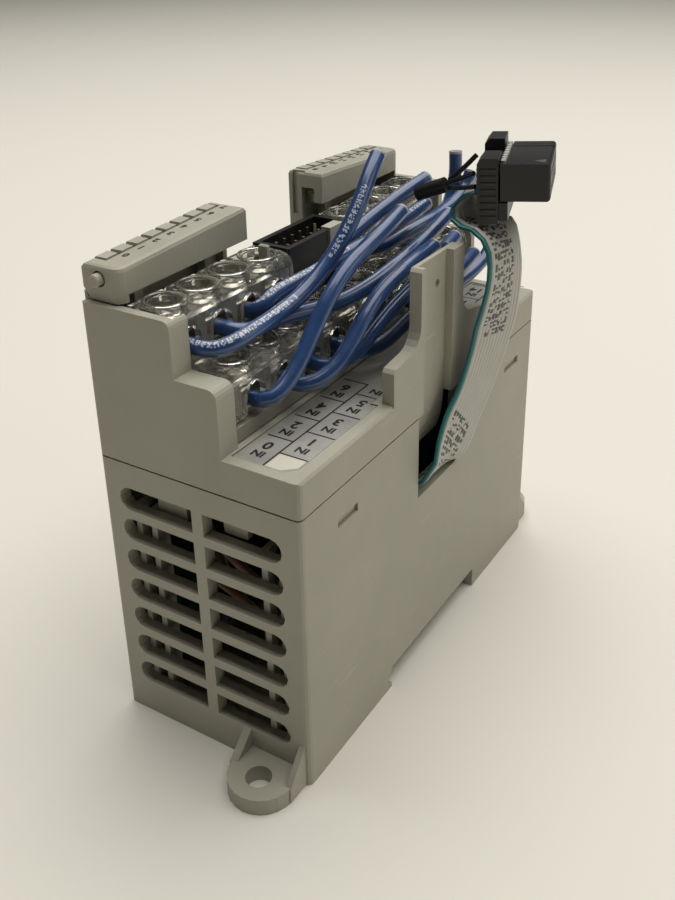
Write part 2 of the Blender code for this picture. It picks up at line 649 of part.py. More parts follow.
def terminal_block(name, x, y, z, terminals, floor, front_lip):
    """A block with an open pocket for each terminal, and a threaded hole under each screw."""
    row_x = UPPER_ROW_X if floor == UPPER_FLOOR else LOWER_ROW_X
    block = box(name, x, y, z)
    pockets = [
        box("pocket", (row_x - 2.85, x[1] + 3), (t - POCKET_HALF_Y, t + POCKET_HALF_Y), (floor, z[1] + 5))
        for t in terminals
    ]
    cut(block, joined("pockets", pockets))
    holes = [cylinder("hole", (row_x, t, floor - 0.5), 1.8, 3.4, segments=12) for t in terminals]
    cut(block, joined("holes", holes))
    add(block, box("lip", (x[1] - 1, front_lip), y, (z[0], floor - 0.9)))
    return keep(block, "terminal_grey")


def terminal_cover(name, x, y, z, terminals, row_x):
    """A clear cap over one row: round driver holes on top, arched wire ports in front."""
    cover = box(name, x, y, z)
    top, front = z[1], x[1]
    round_edges(cover, 2.4, 3, lambda p: abs(p.z - top) < 0.1 and abs(p.x - front) < 0.1)
    inside = [
        (x[0] - 1, z[0] - 1), (front - COVER_THICKNESS, z[0] - 1),
        (front - COVER_THICKNESS, top - COVER_THICKNESS - 1.4),
        (front - COVER_THICKNESS - 1.4, top - COVER_THICKNESS), (x[0] - 1, top - COVER_THICKNESS),
    ]
    cut(cover, prism("inside", inside, "Y", (y[0] - 1, y[1] + 1)))
    holes = [
        cylinder("driver_hole", (row_x, t, top), HOLE_RADIUS, 6, segments=24) for t in terminals
    ]
    cut(cover, joined("driver_holes", holes))
    ports = []
    for t in terminals:
        port = [(t - 2.6, z[0] - 1), (t + 2.6, z[0] - 1)]
        port += arc((t, z[0] + 2.4), 2.6, 0, 180, 8)
        ports.append(prism("port", port, "X", (front - 2.2, front + 1)))
    cut(cover, joined("ports", ports))
    seams = [(a + b) / 2 for a, b in zip(terminals, terminals[1:])]
    grooves = [
        prism("seam", [(s, top - 0.6), (s + 0.8, top + 0.2), (s - 0.8, top + 0.2)], "X",
              (x[0] - 1, front - 2.6))
        for s in seams
    ]
    cut(cover, joined("seams", grooves))
    return keep(cover, "clear_plastic")


def terminals():
    """The three blocks and their three covers."""
    for side, y, rows in (
        ("near", (-43.1, -10.4), UPPER_NEAR_Y),
        ("far", (10.8, 43.1), UPPER_FAR_Y),
    ):
        terminal_block(
            f"terminal_block_upper_{side}", (-12.9, -5.1), y, (DECK_TOP + GAP, 78.2), rows, UPPER_FLOOR,
            -3.7,
        )
        terminal_cover(
            f"cover_upper_{side}", (-11.9, -3.4), y, (UPPER_FLOOR, 81.0), rows, UPPER_ROW_X
        )
    y = (-40.3, 43.1)
    terminal_block(
        "terminal_block_lower", (-3.4, 3.4), y, (DECK_TOP + GAP, 68.3), LOWER_Y, LOWER_FLOOR, 5.2
    )
    terminal_cover(
        "cover_lower", (-3.3, 4.9), y, (LOWER_FLOOR, LOWER_TIER_TOP), LOWER_Y, LOWER_ROW_X
    )


def terminal_screw(name, x, y, floor):
    """A pan-headed screw with a cross recess, its origin on its own axis."""
    head_low, head_top = floor + 4.0, floor + 6.0
    profile = [
        (0.0, head_top), (1.7, head_top), (2.35, head_top - 0.5), (2.5, head_low),
        (1.5, head_low), (1.5, floor - 1.2), (0.0, floor - 1.5),
    ]
    shape = bmesh.new()
    points = [shape.verts.new((r * MM, 0, (z - head_low) * MM)) for r, z in profile]
    for a, b in zip(points, points[1:]):
        shape.edges.new((a, b))
    screw = from_bmesh(name, shape)
    turn = screw.modifiers.new("turn", "SCREW")
    turn.steps = 12
    turn.render_steps = 12
    turn.use_merge_vertices = True
    turn.merge_threshold = 0.00001
    bpy.context.view_layer.update()
    graph = bpy.context.evaluated_depsgraph_get()
    mesh = bpy.data.meshes.new_from_object(screw.evaluated_get(graph))
    screw.modifiers.clear()
    screw.data = mesh
    blades = box("blade", (-1.9, 1.9), (-0.35, 0.35), (1.2, 3.0))
    add(blades, box("blade", (-0.36, 0.36), (-1.5, 1.5), (1.0, 3.1)))
    cut(screw, blades)
    keep(screw, "steel")
    screw.location = Vector((x, y, head_low)) * MM
    return smooth(screw)


def screws():
    for row, x, places, floor in (
        ("upper", UPPER_ROW_X, UPPER_NEAR_Y + UPPER_FAR_Y, UPPER_FLOOR),
        ("lower", LOWER_ROW_X, LOWER_Y, LOWER_FLOOR),
    ):
        for i, y in enumerate(places):
            terminal_screw(f"screw_{row}_{i + 1}", x, y, floor)


# ---------------------------------------------------------- indicator bars


def mirrored(obj, sign):
    """Mirrors a helper's mesh to the +Y side when sign is negative."""
    if sign > 0:
        return obj
    shape = bmesh.new()
    shape.from_mesh(obj.data)
    bmesh.ops.scale(shape, vec=(1, -1, 1), verts=shape.verts)
    bmesh.ops.reverse_faces(shape, faces=shape.faces)
    shape.to_mesh(obj.data)
    shape.free()
    return obj


def sloped(obj, side):
    """Lifts what is above the bar's mid height, so that its top rises from its outer end."""
    outer, inner = BAR_Y[side]
    shape = bmesh.new()
    shape.from_mesh(obj.data)
    for point in shape.verts:
        if point.co.z > BAR_MIDDLE * MM:
            point.co.z += BAR_RISE * (point.co.y - outer * MM) / (inner - outer)
    shape.to_mesh(obj.data)
    shape.free()
    return obj


def light_places(side):
    """(low, high) along Y of each indicator light."""
    starts = [LIGHT_START[side] + LIGHT_PITCH[side] * i for i in range(LIGHTS)]
    return [(y, y + LIGHT_LENGTH) for y in starts]


def led_bar(side, sign):
    """The hollow bar over the indicator lights, with a grooved leg at its inner end."""
    outer, inner = BAR_Y[side]
    wall = BAR_WALL
    places = light_places(side)
    plan = arc((BAR_X[1] - 1.7, outer + 1.7), 1.7, -90, 0, 4)
    plan += [(BAR_X[1], inner), (BAR_X[0], inner), (BAR_X[0], outer)]
    bar = prism(f"led_bar_{side}", plan, "Z", (BAR_BOTTOM, BAR_TOP))
    round_edges(bar, 0.7, 2, lambda p: p.z > BAR_TOP - 0.1)
    hollow_x = (BAR_X[0] + wall, BAR_X[1] - wall)
    cut(bar, box("hollow", hollow_x, (outer + wall, inner - wall), (70, BAR_TOP - wall)))
    strip_y = (places[0][0] - 0.5, places[-1][1] + 0.5)
    cut(bar, box("strip", (-25, LIGHT_X[1] + 0.5), strip_y, (BAR_TOP - 0.5, 95)))
    for low, high in places:
        cut(bar, box("notch", (-25, LIGHT_X[1] + 0.25), (low - 0.25, high + 0.25), (BAR_TOP - 1.7, 95)))
    sloped(bar, side)
    add(bar, box("leg", (BAR_X[0] + 0.01, -17.0), (inner - 1.1, inner - 0.01), (74.6, 83.0)))
    cut(
        bar,
        box("side_relief", (BAR_X[1] - 2, BAR_X[1] + 1), (outer + 1.75, inner + 1), (70, BAR_SIDE_BOTTOM)),
        box("leg_groove", (-19.2, -18.0), (inner - 0.6, inner + 1), (79.5, 95)),
        box("end_window", (-17.0, -14.1), (inner - 1.6, inner + 1), (74, 85.2)),
        box("corner_step", (-18.1, -16.4), (inner - 0.7, inner + 1), (BAR_TOP + BAR_RISE - 0.45, 95)),
        cylinder("pin_hole", (HINGE_X, outer, HINGE_Z), 1.35, 5, axis="Y", segments=16),
    )
    if side == "near":
        relief = [(-21, 84.2), (-19.0, 81.6), (-19.0, 80), (-21, 80)]
        cut(bar, prism("ear_relief", relief, "Y", (-46, -42.2)))
    return keep(mirrored(bar, sign), "housing_grey")


def light_pipe(side, sign):
    """A comb of eight light guides on a common rail, with two feet on the deck."""
    places = light_places(side)
    rail = (places[0][0] + 0.3, places[-1][1])
    pipe = box(f"light_pipe_{side}", (-18.5, -15.3), rail, (BAR_BOTTOM + 0.6, BAR_BOTTOM + 2.4))
    stem, top = -18.5, BAR_TOP + 0.1
    hook = [(stem, BAR_BOTTOM + 2), (LIGHT_X[1], BAR_BOTTOM + 2), (LIGHT_X[1], top),
            (LIGHT_X[0] + 0.3, top), (LIGHT_X[0], top - 0.3), (LIGHT_X[0], top - 1.4), (stem, top - 1.4)]
    for place in places:
        add(pipe, prism("guide", hook, "Y", place))
    sloped(pipe, side)
    for low in (places[1][0], places[-2][0]):
        add(pipe, box("foot", (-17.2, -15.6), (low, low + 2), (DECK_TOP + GAP, BAR_BOTTOM + 2.3)))
    return keep(mirrored(pipe, sign), "light_pipe")


def door_pin(side, sign):
    """The stub that the missing wiring door turned on, in the bar's outer end."""
    profile = [(0.0, 0.0), (0.85, 0.0), (1.05, -0.2), (1.05, -2.7), (0.0, -2.7)]
    shape = bmesh.new()
    points = [shape.verts.new((r * MM, 0, z * MM)) for r, z in profile]
    for a, b in zip(points, points[1:]):
        shape.edges.new((a, b))
    pin = from_bmesh(f"door_pin_{side}", shape)
    turn = pin.modifiers.new("turn", "SCREW")
    turn.steps = 16
    turn.render_steps = 16
    turn.use_merge_vertices = True
    turn.merge_threshold = 0.00001
    keep(pin, "housing_grey")
    pin.location = Vector((HINGE_X, sign * (BAR_Y[side][0] - 1.3), HINGE_Z)) * MM
    pin.rotation_euler = (math.radians(90 * sign), 0, 0)
    return smooth(pin)


def indicators():
    for side, sign in (("near", 1), ("far", -1)):
        led_bar(side, sign)
        light_pipe(side, sign)
        door_pin(side, sign)


# -------------------------------------------------------------- bus header


def pin_places():
    x0 = HEADER_CENTRE[0] - PIN_PITCH * (PIN_ROWS - 1) / 2
    y0 = HEADER_CENTRE[1] - PIN_PITCH * (PINS_PER_ROW - 1) / 2
    return [
        (x0 + PIN_PITCH * row, y0 + PIN_PITCH * i)
        for row in range(PIN_ROWS)
        for i in range(PINS_PER_ROW)
    ]


def bus_header():
    """The black shroud, its comb of pins, and the pale polarising clip in its wall."""
    x = (HEADER_CENTRE[0] - HEADER_SIZE[0] / 2, HEADER_CENTRE[0] + HEADER_SIZE[0] / 2)
    y = (HEADER_CENTRE[1] - HEADER_SIZE[1] / 2, HEADER_CENTRE[1] + HEADER_SIZE[1] / 2)
    shroud = box("bus_header", x, y, (DECK_TOP + GAP, HEADER_Z[1]))
    cut(
        shroud,
        box("socket", (x[0] + 1.1, x[1] - 1.1), (y[0] + 1.1, y[1] - 1.1), (HEADER_Z[0] + 2.5, 90)),
        box("clip_gate", (x[1] - 2.0, x[1] + 1), (3.4, 8.4), (74.5, 90)),
        box("well", (x[0] + 1.4, x[1] - 1.4), (y[0] + 1.4, y[1] - 1.4), (50, HEADER_Z[0] + 1.2)),
    )
    holes = [box("pin_hole", (px - 0.62, px + 0.62), (py - 0.62, py + 0.62), (70, 76))
             for px, py in pin_places()]
    cut(shroud, joined("pin_holes", holes))
    keep(shroud, "black_plastic")

    comb = box("bus_header_pins", (x[0] + 1.8, x[1] - 1.8), (y[0] + 1.8, y[1] - 1.8), (70.6, 71.7))
    for px, py in pin_places():
        pin = cylinder("pin", (px, py, 75.7), 0.42, 9.4, segments=4, top_radius=0.36)
        add(comb, pin)
    keep(comb, "gold")

    clip = box("header_clip", (x[1] - 1.7, x[1] + 0.35), (3.7, 8.1), (74.8, 81.3))
    cut(clip, box("slit", (x[1] - 0.6, x[1] + 2), (5.9, 6.5), (73, 79.6)))
    return keep(clip, "light_pipe")


def key_post():
    """The square post that stands up through the near cover's last driver hole, on a foot under it."""
    post = box("key_post", (-8.2, -5.9), (-14.1, -10.6), (78.9, 79.45))
    add(
        post,
        box("stem", (-8.1, -6.2), (-14.05, -13.2), (79.2, 82.8)),
        box("heel", (-8.15, -5.95), (-11.25, -10.65), (78.5, 79.2)),
    )
    round_edges(post, 0.2, 1, lambda p: p.z > 82.6)
    return keep(post, "housing_grey")


# ---------------------------------------------------- ribbon and connector


def ribbon_cable():
    """The flat bus cable: an open strip along its route, thickened both ways."""
    centre = curve_points(RIBBON_ROUTE, 46)
    ways = [Vector(w) for w in RIBBON_WIDTH_WAYS]
    shape = bmesh.new()
    rails = []
    for i, place in enumerate(centre):
        ahead = centre[min(i + 1, len(centre) - 1)] - centre[max(i - 1, 0)]
        ahead.normalize()
        at = i / (len(centre) - 1) * (len(ways) - 1)
        first = min(int(at), len(ways) - 2)
        way = ways[first].lerp(ways[first + 1], at - first)
        way = (way - ahead * way.dot(ahead)).normalized() * RIBBON_WIDTH / 2
        rails.append([shape.verts.new((place + way * s) * MM) for s in (-1, 1)])
    for (a, b), (c, d) in zip(rails, rails[1:]):
        shape.faces.new((a, c, d, b))
    strip = from_bmesh("ribbon_cable", shape)
    thicken = strip.modifiers.new("thickness", "SOLIDIFY")
    thicken.thickness = RIBBON_THICKNESS * MM
    thicken.offset = 0.0
    return smooth(keep(strip, "ribbon_grey"))


def placed(obj, look):
    """Turns and moves a connector piece, modelled with its cable face's middle at the origin."""
    keep(obj, look)
    obj.location = Vector(CONNECTOR_AT) * MM
    obj.rotation_euler = Euler((0, CONNECTOR_TILT, CONNECTOR_TURN))
    return obj


def connector():
    """The crimped cap with an ear at each end, and the socket body that faces away from it."""
    cap = box("connector_cap", CAP_X, (-CAP_HALF_Y, CAP_HALF_Y), CAP_Z)
    for end, top in CAP_EARS.items():
        ear = [(CAP_X[0], CAP_Z[1] - 1), (CAP_X[1], CAP_Z[1] - 1), (CAP_X[1], top),
               (CAP_X[0] + 0.8, top), (CAP_X[0], top - 1.0)]
        add(cap, prism("ear", ear, "Y", sorted((end * 3.1, end * CAP_HALF_Y))))
    foot_y = (-BODY_HALF_Y, BODY_HALF_Y)
    add(cap, box("foot", (CAP_X[1] - 0.5, 5.3), foot_y, (CAP_Z[0] + 0.4, BODY_Z[0] - GAP)))
    placed(cap, "black_plastic")

    body = box("connector_body", BODY_X, (-BODY_HALF_Y, BODY_HALF_Y), BODY_Z)
    front = BODY_X[1]
    round_edges(body, 0.5, 2, lambda p: p.x > front - 0.1)
    middle = (BODY_Z[0] + BODY_Z[1]) / 2
    sockets = [
        box("socket", (front - 6.5, front + 1), (y - 0.55, y + 0.55), (z - 0.55, z + 0.55))
        for y in [PIN_PITCH * (i - (PINS_PER_ROW - 1) / 2) for i in range(PINS_PER_ROW)]
        for z in [middle + PIN_PITCH * (row - 0.5) for row in range(PIN_ROWS)]
    ]
    cut(body, joined("sockets", sockets))
    cut(
        body,
        box("cable_gate", (BODY_X[0] - 1, BODY_X[0] + 0.9), (-7.9, 10), (BODY_Z[1] - 0.6, 8)),
        box("groove", (BODY_X[0] + 1.2, front + 1), (4.7, 5.1), (BODY_Z[1] - 0.3, 8)),
    )
    placed(body, "black_plastic")


def pull_loop():
    """The three short black leads from the cap and the shrunk sleeve that gathers them."""
    tube("pull_sleeve", [(8.34, 13.6, 87.1), (11.0, 13.85, 88.2), (13.85, 14.1, 89.4)], 2.9,
         "black_plastic", 5, resolution=3)
    leads = {
        "upper": [(14.17, 14.75, 90.13), (16.7, 15.1, 92.5), (18.85, 16.0, 95.0)],
        "middle": [(14.36, 13.41, 89.94), (17.6, 12.6, 91.4), (20.45, 11.4, 92.9)],
        "lower": [(14.72, 13.7, 88.95), (17.7, 11.6, 89.9), (20.85, 11.3, 90.6)],
    }
    for name, route in leads.items():
        tube(f"pull_lead_{name}", route, 0.9, "black_plastic", 6)


def field_wires():
    for name, route in WIRE_ROUTES.items():
        length = sum(math.dist(a, b) for a, b in zip(route, route[1:]))
        tube(name, route, WIRE_DIAMETER, "wire_blue", max(8, round(length / 3.2)))


base_housing()
top_housing()
label_card()
din_latch()
boards()
board_link_wire()
terminals()
screws()
indicators()
bus_header()
key_post()
ribbon_cable()
connector()
pull_loop()
field_wires()
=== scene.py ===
import json
import math

import bmesh
import bpy
from mathutils import Matrix, Vector


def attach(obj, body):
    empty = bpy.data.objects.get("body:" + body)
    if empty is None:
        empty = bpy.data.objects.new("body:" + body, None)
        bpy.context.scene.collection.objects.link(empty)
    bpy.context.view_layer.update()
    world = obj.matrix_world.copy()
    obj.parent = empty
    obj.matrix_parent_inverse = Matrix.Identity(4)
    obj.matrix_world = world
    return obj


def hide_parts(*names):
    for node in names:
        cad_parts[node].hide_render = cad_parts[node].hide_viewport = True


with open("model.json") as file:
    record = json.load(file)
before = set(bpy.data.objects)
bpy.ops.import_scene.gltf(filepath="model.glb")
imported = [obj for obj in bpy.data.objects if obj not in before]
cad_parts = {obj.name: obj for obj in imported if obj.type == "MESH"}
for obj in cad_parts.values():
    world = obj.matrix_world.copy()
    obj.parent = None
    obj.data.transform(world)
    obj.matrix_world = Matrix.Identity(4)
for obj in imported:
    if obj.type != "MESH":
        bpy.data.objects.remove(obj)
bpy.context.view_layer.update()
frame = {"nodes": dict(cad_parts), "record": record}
MM = 0.001
HOUSING = "housing"

# ------------------------------------------------------------------ camera

AZIMUTH, ELEVATION, ROLL = math.radians(32.42), math.radians(24.26), math.radians(-1.21)
CAMERA_PLACE = (0.0943, -0.1503, 0.1400)
SENSOR_WIDTH, LENS = 36.0, 41.28
SHIFT_Y = -7 / 60
back = Vector((
    math.sin(AZIMUTH) * math.cos(ELEVATION),
    -math.cos(AZIMUTH) * math.cos(ELEVATION),
    math.sin(ELEVATION),
))
right = Vector((0, 0, 1)).cross(back).normalized()
up = back.cross(right)
across = right * math.cos(ROLL) + up * math.sin(ROLL)
upward = up * math.cos(ROLL) - right * math.sin(ROLL)
camera_data = bpy.data.cameras.new("camera")
camera_data.sensor_width = SENSOR_WIDTH
camera_data.lens = LENS
camera_data.shift_y = SHIFT_Y
camera_data.clip_start = 0.01
camera = bpy.data.objects.new("camera", camera_data)
turn = Matrix((across, upward, back)).transposed().to_4x4()
camera.matrix_world = Matrix.Translation(CAMERA_PLACE) @ turn
bpy.context.scene.collection.objects.link(camera)
bpy.context.scene.camera = camera

# --------------------------------------------------------------- materials


def node(tree, kind, inputs=(), **settings):
    made = tree.nodes.new("ShaderNode" + kind)
    for name, value in settings.items():
        setattr(made, name, value)
    for name, value in dict(inputs).items():
        if isinstance(value, bpy.types.NodeSocket):
            tree.links.new(value, made.inputs[name])
        else:
            made.inputs[name].default_value = value
    return made


def mixed(tree, share, first, second):
    """A colour between two, by share."""
    made = tree.nodes.new("ShaderNodeMix")
    made.data_type = "RGBA"
    for socket, value in ((0, share), (6, first), (7, second)):
        if isinstance(value, bpy.types.NodeSocket):
            tree.links.new(value, made.inputs[socket])
        else:
            made.inputs[socket].default_value = value
    return made.outputs[2]


def math_node(tree, operation, a, b=0.0):
    return node(tree, "Math", {0: a, 1: b}, operation=operation).outputs[0]


def ranged(tree, value, low, high, to_low=0.0, to_high=1.0):
    return node(tree, "MapRange", {
        "Value": value, "From Min": low, "From Max": high, "To Min": to_low, "To Max": to_high,
    }).outputs[0]


def rgb(colour, factor=1.0):
    return (*[min(1.0, c * factor) for c in colour], 1.0)


def finish_of(name, colour, roughness, metallic=0.0, variation=0.07, blotch=70.0, grain=2600.0,
              bump=0.12, scratches=0.0, **sockets):
    """A surface with slow colour and roughness drift, a fine grain in its colour and bump, and faint rub marks."""
    look = bpy.data.materials.new(name)
    look.use_nodes = True
    tree = look.node_tree
    shader = tree.nodes["Principled BSDF"]
    place = node(tree, "TexCoord").outputs["Object"]
    drift = node(tree, "TexNoise", {"Vector": place, "Scale": blotch, "Detail": 4.0}).outputs["Fac"]
    fine = node(tree, "TexNoise", {"Vector": place, "Scale": grain, "Detail": 3.0}).outputs["Fac"]
    shade = mixed(tree, ranged(tree, drift, 0.3, 0.7), rgb(colour, 1 - variation), rgb(colour, 1 + variation))
    shade = mixed(tree, ranged(tree, fine, 0.35, 0.65, 0.0, 0.5), shade, rgb(colour, 1 - variation / 2))
    height = fine
    if scratches:
        stretched = node(tree, "Mapping", {"Vector": place, "Scale": (1.0, 0.08, 1.0),
                                           "Rotation": (0.5, 0.3, 0.7)}).outputs[0]
        rub = node(tree, "TexNoise", {"Vector": stretched, "Scale": 900.0, "Detail": 2.0}).outputs["Fac"]
        rub = ranged(tree, rub, 0.66, 0.72)
        patch = node(tree, "TexNoise", {"Vector": place, "Scale": 38.0}).outputs["Fac"]
        rub = math_node(tree, "MULTIPLY", rub, ranged(tree, patch, 0.5, 0.65, 0.0, scratches))
        shade = mixed(tree, rub, shade, rgb(colour, 1.35))
    tree.links.new(shade, shader.inputs["Base Color"])
    rough = ranged(tree, drift, 0.3, 0.7, roughness - 0.05, roughness + 0.07)
    tree.links.new(rough, shader.inputs["Roughness"])
    shader.inputs["Metallic"].default_value = metallic
    if bump:
        raised = node(tree, "Bump", {"Height": height, "Strength": bump, "Distance": 0.0002})
        tree.links.new(raised.outputs[0], shader.inputs["Normal"])
    for socket, value in sockets.items():
        shader.inputs[socket.replace("_", " ")].default_value = value
    return look


HOUSING_COLOUR = (0.40, 0.385, 0.315)
housing_look = finish_of("housing_plastic", HOUSING_COLOUR, 0.5, variation=0.09, bump=0.3, scratches=0.5)
looks = {
    "housing_grey": housing_look,
    "clear_plastic": finish_of("clear_plastic", (0.93, 0.92, 0.86), 0.06, variation=0.02, blotch=160.0,
                               grain=500.0, bump=0.18, Transmission_Weight=0.95, IOR=1.46),
    "terminal_grey": finish_of("terminal_plastic", (0.24, 0.225, 0.18), 0.45, variation=0.15),
    "light_pipe": finish_of("milky_plastic", (0.47, 0.46, 0.39), 0.34),
    "black_plastic": finish_of("black_plastic", (0.012, 0.012, 0.013), 0.36, variation=0.3, grain=1800.0),
    "steel": finish_of("zinc_steel", (0.58, 0.56, 0.50), 0.3, metallic=1.0, variation=0.15, scratches=0.6),
    "gold": finish_of("plated_pins", (0.80, 0.70, 0.50), 0.24, metallic=1.0),
    # Painted shade: the board green is darkened to stand for the shade inside the housing, where little light
    # reaches.
    "board_green": finish_of("solder_resist_painted_shade", (0.008, 0.045, 0.02), 0.35, variation=0.3, blotch=300.0),
    "card_silver": finish_of("label_foil", (0.44, 0.435, 0.40), 0.33, metallic=0.3, variation=0.14, blotch=160.0),
    "wire_brown": finish_of("brown_insulation", (0.17, 0.085, 0.05), 0.35, bump=0.05),
}
slots = {part["node"]: part["material_slot"] for part in frame["record"]["subparts"]}
for name, part in frame["nodes"].items():
    look = looks.get(slots[name])
    if look:
        part.data.materials.clear()
        part.data.materials.append(look)


def piece(name, shape, look, smooth=True, body=HOUSING, angle=35):
    """A bmesh as a finished piece that rides on a body."""
    mesh = bpy.data.meshes.new(name)
    bmesh.ops.recalc_face_normals(shape, faces=shape.faces)
    shape.to_mesh(mesh)
    shape.free()
    mesh.materials.append(look)
    obj = bpy.data.objects.new(name, mesh)
    bpy.context.scene.collection.objects.link(obj)
    if smooth:
        mesh.shade_smooth()
        mesh.set_sharp_from_angle(angle=math.radians(angle))
    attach(obj, body)
    return obj


def add_box(shape, x, y, z, bevel=0.0):
    """Adds a box, given by (low, high) in millimetres along each axis, with softened edges."""
    made = bmesh.ops.create_cube(shape, size=1.0)["verts"]
    low, high = (Vector((x[i], y[i], z[i])) * MM for i in (0, 1))
    for corner in made:
        corner.co = Vector([low[i] + (corner.co[i] + 0.5) * (high[i] - low[i]) for i in range(3)])
    if bevel:
        edges = list({edge for corner in made for edge in corner.link_edges})
        bmesh.ops.bevel(shape, geom=edges, offset=bevel * MM, segments=2, profile=0.5, affect="EDGES")


def add_can(shape, centre, radius, length, axis="Z", segments=24, bevel=0.0):
    made = bmesh.ops.create_cone(shape, cap_ends=True, segments=segments, radius1=radius * MM,
                                 radius2=radius * MM, depth=length * MM)["verts"]
    facing = {"X": Matrix.Rotation(math.pi / 2, 4, "Y"), "Y": Matrix.Rotation(math.pi / 2, 4, "X"),
              "Z": Matrix.Identity(4)}[axis]
    bmesh.ops.transform(shape, matrix=Matrix.Translation(Vector(centre) * MM) @ facing, verts=made)
    if bevel:
        rims = [e for e in {e for v in made for e in v.link_edges} if len(e.link_faces) == 2 and
                any(len(f.verts) > 4 for f in e.link_faces)]
        bmesh.ops.bevel(shape, geom=rims, offset=bevel * MM, segments=2, profile=0.5, affect="EDGES")


# ------------------------------------------------------------ smooth routes


def curve_points(route, count):
    """Evenly spaced points on a smooth centripetal curve through the route's points, in millimetres."""
    ends = [
        tuple(2 * a - b for a, b in zip(route[0], route[1])),
        tuple(2 * a - b for a, b in zip(route[-1], route[-2])),
    ]
    knots = [Vector(p) for p in [ends[0], *route, ends[1]]]
    fine = []
    for p0, p1, p2, p3 in zip(knots, knots[1:], knots[2:], knots[3:]):
        t1 = (p1 - p0).length ** 0.5
        t2 = t1 + (p2 - p1).length ** 0.5
        t3 = t2 + (p3 - p2).length ** 0.5
        for i in range(16):
            t = t1 + (t2 - t1) * i / 16
            a1 = p0.lerp(p1, t / t1)
            a2 = p1.lerp(p2, (t - t1) / (t2 - t1))
            a3 = p2.lerp(p3, (t - t2) / (t3 - t2))
            b1 = a1.lerp(a2, t / t2)
            b2 = a2.lerp(a3, (t - t1) / (t3 - t1))
            fine.append(b1.lerp(b2, (t - t1) / (t2 - t1)))
    fine.append(knots[-2])
    run = [0.0]
    for a, b in zip(fine, fine[1:]):
        run.append(run[-1] + (b - a).length)
    points, at = [], 0
    for i in range(count):
        wanted = run[-1] * i / (count - 1)
        while at < len(run) - 2 and run[at + 1] < wanted:
            at += 1
        share = (wanted - run[at]) / (run[at + 1] - run[at])
        points.append(fine[at].lerp(fine[at + 1], share))
    return points


def sweep(name, points, section, look, facing):
    """Sweeps a closed section, given as (across, out) pairs, along the points, with UVs in
    (round the section, millimetres along it)."""
    shape = bmesh.new()
    uv = shape.loops.layers.uv.new("along")
    rings, run = [], 0.0
    for i, place in enumerate(points):
        ahead = (points[min(i + 1, len(points) - 1)] - points[max(i - 1, 0)]).normalized()
        side = facing[i] if isinstance(facing, list) else facing
        side = (side - ahead * side.dot(ahead)).normalized()
        out = ahead.cross(side)
        run += (place - points[i - 1]).length if i else 0.0
        ring = [shape.verts.new((place + side * a + out * b) * MM) for a, b in section]
        rings.append((ring, run))
    count = len(section)
    for (low, start), (high, end) in zip(rings, rings[1:]):
        for k in range(count):
            n = (k + 1) % count
            face = shape.faces.new((low[k], low[n], high[n], high[k]))
            for loop, (u, v) in zip(face.loops, (
                (k / count, start), ((k + 1) / count, start), ((k + 1) / count, end), (k / count, end),
            )):
                loop[uv].uv = (u, v)
    for ring, _ in (rings[0], rings[-1]):
        shape.faces.new(ring)
    return piece(name, shape, look, angle=50)


def circle(radius, segments):
    return [(radius * math.cos(2 * math.pi * i / segments), radius * math.sin(2 * math.pi * i / segments))
            for i in range(segments)]


# ------------------------------------------------------------- field wires

